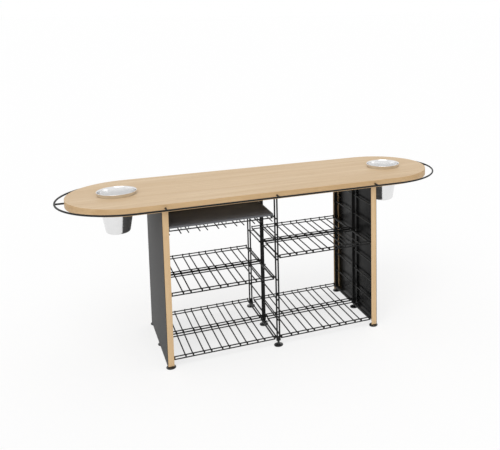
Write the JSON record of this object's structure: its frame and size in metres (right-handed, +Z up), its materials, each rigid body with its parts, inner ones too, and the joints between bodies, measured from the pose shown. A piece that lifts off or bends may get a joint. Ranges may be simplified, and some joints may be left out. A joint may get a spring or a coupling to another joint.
{
  "type": "bar counter with shelves",
  "caption": "Oval oak bar counter on black ladder frames with hook-on wire shelves, a glass rack, a tray, lift-out steel buckets, a guard rail and dark clad ends.",
  "frame": {"origin": "on the floor, midway between the side frames and midway between the front and rear posts", "axes": "+X along the counter to the right seen from the front, +Y to the rear, +Z up"},
  "size_m": [2.252, 0.766, 0.933],
  "materials": {
    "counter_oak": "clear matt lacquer, straight grain along the length",
    "strip_oak": "clear matt lacquer, grain along the height",
    "black_wire": "fine satin powder coat",
    "dark_sheet": "dark grey, matt outside and glossy inside",
    "tray_black": "satin black",
    "polished_steel": "polished stainless steel",
    "zinc_steel": "bright zinc plate",
    "foot_black": "glossy black"
  },
  "bodies": {
    "counter": {"counter_top": "counter_oak", "rail_front": "black_wire", "rail_rear": "black_wire", "rail_left": "black_wire", "rail_right": "black_wire", "frame_left": "black_wire", "top_screw_left_front": "zinc_steel", "top_screw_left_rear": "zinc_steel", "frame_centre": "black_wire", "top_screw_centre_front": "zinc_steel", "top_screw_centre_rear": "zinc_steel", "frame_right": "black_wire", "top_screw_right_front": "zinc_steel", "top_screw_right_rear": "zinc_steel", "oak_strip_left_front": "strip_oak", "oak_strip_left_rear": "strip_oak", "side_sheet_left": "dark_sheet", "oak_strip_right_front": "strip_oak", "oak_strip_right_rear": "strip_oak", "side_sheet_right": "dark_sheet"},
    "bucket_left": {"bucket_left": "polished_steel"},
    "bucket_right": {"bucket_right": "polished_steel"},
    "foot_left_front": {"foot_pad_left_front": "foot_black", "foot_stem_left_front": "zinc_steel"},
    "foot_left_middle": {"foot_pad_left_middle": "foot_black", "foot_stem_left_middle": "zinc_steel"},
    "foot_left_rear": {"foot_pad_left_rear": "foot_black", "foot_stem_left_rear": "zinc_steel"},
    "foot_centre_front": {"foot_pad_centre_front": "foot_black", "foot_stem_centre_front": "zinc_steel"},
    "foot_centre_middle": {"foot_pad_centre_middle": "foot_black", "foot_stem_centre_middle": "zinc_steel"},
    "foot_centre_rear": {"foot_pad_centre_rear": "foot_black", "foot_stem_centre_rear": "zinc_steel"},
    "foot_right_front": {"foot_pad_right_front": "foot_black", "foot_stem_right_front": "zinc_steel"},
    "foot_right_middle": {"foot_pad_right_middle": "foot_black", "foot_stem_right_middle": "zinc_steel"},
    "foot_right_rear": {"foot_pad_right_rear": "foot_black", "foot_stem_right_rear": "zinc_steel"},
    "shelf_left_lower_front": {"shelf_left_lower_front": "black_wire"},
    "shelf_left_lower_rear": {"shelf_left_lower_rear": "black_wire"},
    "shelf_left_upper_front": {"shelf_left_upper_front": "black_wire"},
    "shelf_left_upper_rear": {"shelf_left_upper_rear": "black_wire"},
    "shelf_right_lower_front": {"shelf_right_lower_front": "black_wire"},
    "shelf_right_lower_rear": {"shelf_right_lower_rear": "black_wire"},
    "shelf_right_upper_front": {"shelf_right_upper_front": "black_wire"},
    "shelf_right_upper_rear": {"shelf_right_upper_rear": "black_wire"},
    "glass_rack": {"glass_rack": "black_wire", "stem_rail_1": "black_wire", "stem_rail_2": "black_wire", "stem_rail_3": "black_wire", "stem_rail_4": "black_wire", "stem_rail_5": "black_wire", "stem_rail_6": "black_wire"},
    "tray": {"tray": "tray_black"}
  },
  "joints": [
    {"name": "bucket_left_lift", "type": "slide", "parent": "counter", "child": "bucket_left", "axis": [0, 0, 1], "range_m": [0, 0.25]},
    {"name": "bucket_right_lift", "type": "slide", "parent": "counter", "child": "bucket_right", "axis": [0, 0, 1], "range_m": [0, 0.25]},
    {"name": "foot_left_front_level", "type": "slide", "parent": "counter", "child": "foot_left_front", "axis": [0, 0, 1], "range_m": [-0.015, 0]},
    {"name": "foot_left_middle_level", "type": "slide", "parent": "counter", "child": "foot_left_middle", "axis": [0, 0, 1], "range_m": [-0.015, 0]},
    {"name": "foot_left_rear_level", "type": "slide", "parent": "counter", "child": "foot_left_rear", "axis": [0, 0, 1], "range_m": [-0.015, 0]},
    {"name": "foot_centre_front_level", "type": "slide", "parent": "counter", "child": "foot_centre_front", "axis": [0, 0, 1], "range_m": [-0.015, 0]},
    {"name": "foot_centre_middle_level", "type": "slide", "parent": "counter", "child": "foot_centre_middle", "axis": [0, 0, 1], "range_m": [-0.015, 0]},
    {"name": "foot_centre_rear_level", "type": "slide", "parent": "counter", "child": "foot_centre_rear", "axis": [0, 0, 1], "range_m": [-0.015, 0]},
    {"name": "foot_right_front_level", "type": "slide", "parent": "counter", "child": "foot_right_front", "axis": [0, 0, 1], "range_m": [-0.015, 0]},
    {"name": "foot_right_middle_level", "type": "slide", "parent": "counter", "child": "foot_right_middle", "axis": [0, 0, 1], "range_m": [-0.015, 0]},
    {"name": "foot_right_rear_level", "type": "slide", "parent": "counter", "child": "foot_right_rear", "axis": [0, 0, 1], "range_m": [-0.015, 0]},
    {"name": "shelf_left_lower_front_lift", "type": "slide", "parent": "counter", "child": "shelf_left_lower_front", "axis": [0, 0, 1], "range_m": [0, 0.03]},
    {"name": "shelf_left_lower_rear_lift", "type": "slide", "parent": "counter", "child": "shelf_left_lower_rear", "axis": [0, 0, 1], "range_m": [0, 0.03]},
    {"name": "shelf_left_upper_front_lift", "type": "slide", "parent": "counter", "child": "shelf_left_upper_front", "axis": [0, 0, 1], "range_m": [0, 0.03]},
    {"name": "shelf_left_upper_rear_lift", "type": "slide", "parent": "counter", "child": "shelf_left_upper_rear", "axis": [0, 0, 1], "range_m": [0, 0.03]},
    {"name": "shelf_right_lower_front_lift", "type": "slide", "parent": "counter", "child": "shelf_right_lower_front", "axis": [0, 0, 1], "range_m": [0, 0.03]},
    {"name": "shelf_right_lower_rear_lift", "type": "slide", "parent": "counter", "child": "shelf_right_lower_rear", "axis": [0, 0, 1], "range_m": [0, 0.03]},
    {"name": "shelf_right_upper_front_lift", "type": "slide", "parent": "counter", "child": "shelf_right_upper_front", "axis": [0, 0, 1], "range_m": [0, 0.03]},
    {"name": "shelf_right_upper_rear_lift", "type": "slide", "parent": "counter", "child": "shelf_right_upper_rear", "axis": [0, 0, 1], "range_m": [0, 0.03]},
    {"name": "glass_rack_lift", "type": "slide", "parent": "counter", "child": "glass_rack", "axis": [0, 0, 1], "range_m": [0, 0.03]},
    {"name": "tray_lift", "type": "slide", "parent": "glass_rack", "child": "tray", "axis": [0, 0, 1], "range_m": [0, 0.03]}
  ]
}
